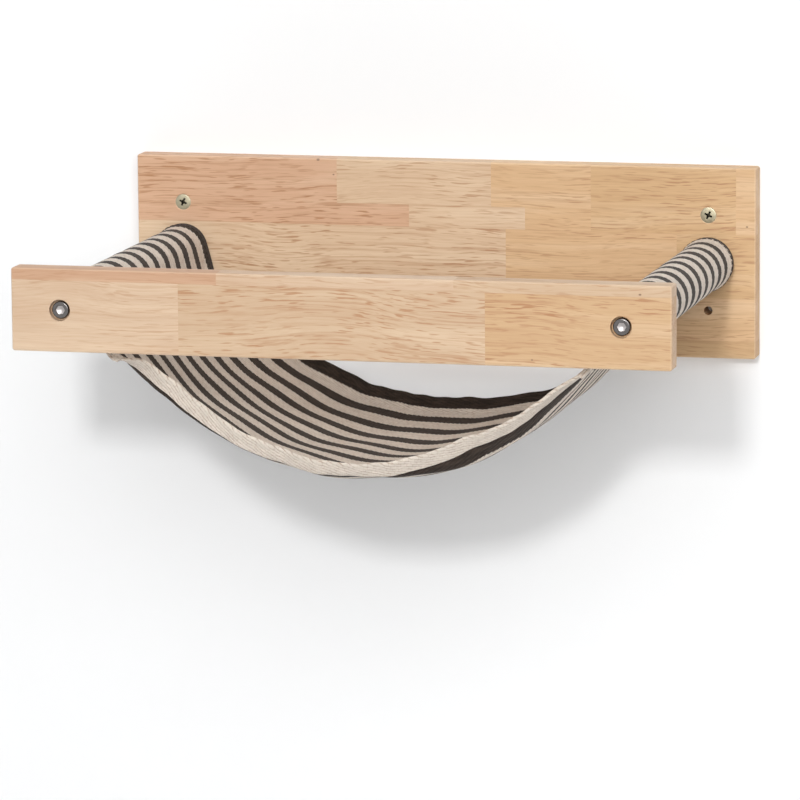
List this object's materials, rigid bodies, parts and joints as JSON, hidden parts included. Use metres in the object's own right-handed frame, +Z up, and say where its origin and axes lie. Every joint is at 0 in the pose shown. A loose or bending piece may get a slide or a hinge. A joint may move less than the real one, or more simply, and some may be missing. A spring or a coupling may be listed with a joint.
{
  "type": "cat wall shelf",
  "caption": "Wall-mounted wooden frame of a back board, a front rail and round arms that carry a striped canvas sling for a cat to lie in.",
  "frame": {"origin": "on the wall face, midway between the two wall screws", "axes": "+X to the right along the board, +Y into the wall, +Z up"},
  "size_m": [0.4, 0.31, 0.1716],
  "materials": {
    "board_wood": "glued-up light hardwood, clear matt lacquer",
    "rail_wood": "glued-up light hardwood, clear matt lacquer",
    "arm_wood": "turned light hardwood, clear matt lacquer",
    "canvas": "woven cotton canvas, black and cream stripes",
    "bolt_steel": "bright nickel plated",
    "screw_zinc": "yellow zinc plated",
    "insert_steel": "zinc plated"
  },
  "bodies": {
    "frame": {"back_board": "board_wood", "front_rail": "rail_wood", "arm_left": "arm_wood", "front_insert_left": "insert_steel", "rear_insert_left": "insert_steel", "front_bolt_left": "bolt_steel", "rear_bolt_left": "bolt_steel", "wall_screw_left": "screw_zinc", "arm_right": "arm_wood", "front_insert_right": "insert_steel", "rear_insert_right": "insert_steel", "front_bolt_right": "bolt_steel", "rear_bolt_right": "bolt_steel", "wall_screw_right": "screw_zinc"},
    "sling": {"sling_bed": "canvas", "front_hem": "canvas", "rear_hem": "canvas", "sleeve_left": "canvas", "sleeve_right": "canvas"}
  },
  "joints": [
    {"name": "sling_slide", "type": "slide", "parent": "frame", "child": "sling", "axis": [0, -1, 0], "range_m": [0, 0.004]}
  ]
}
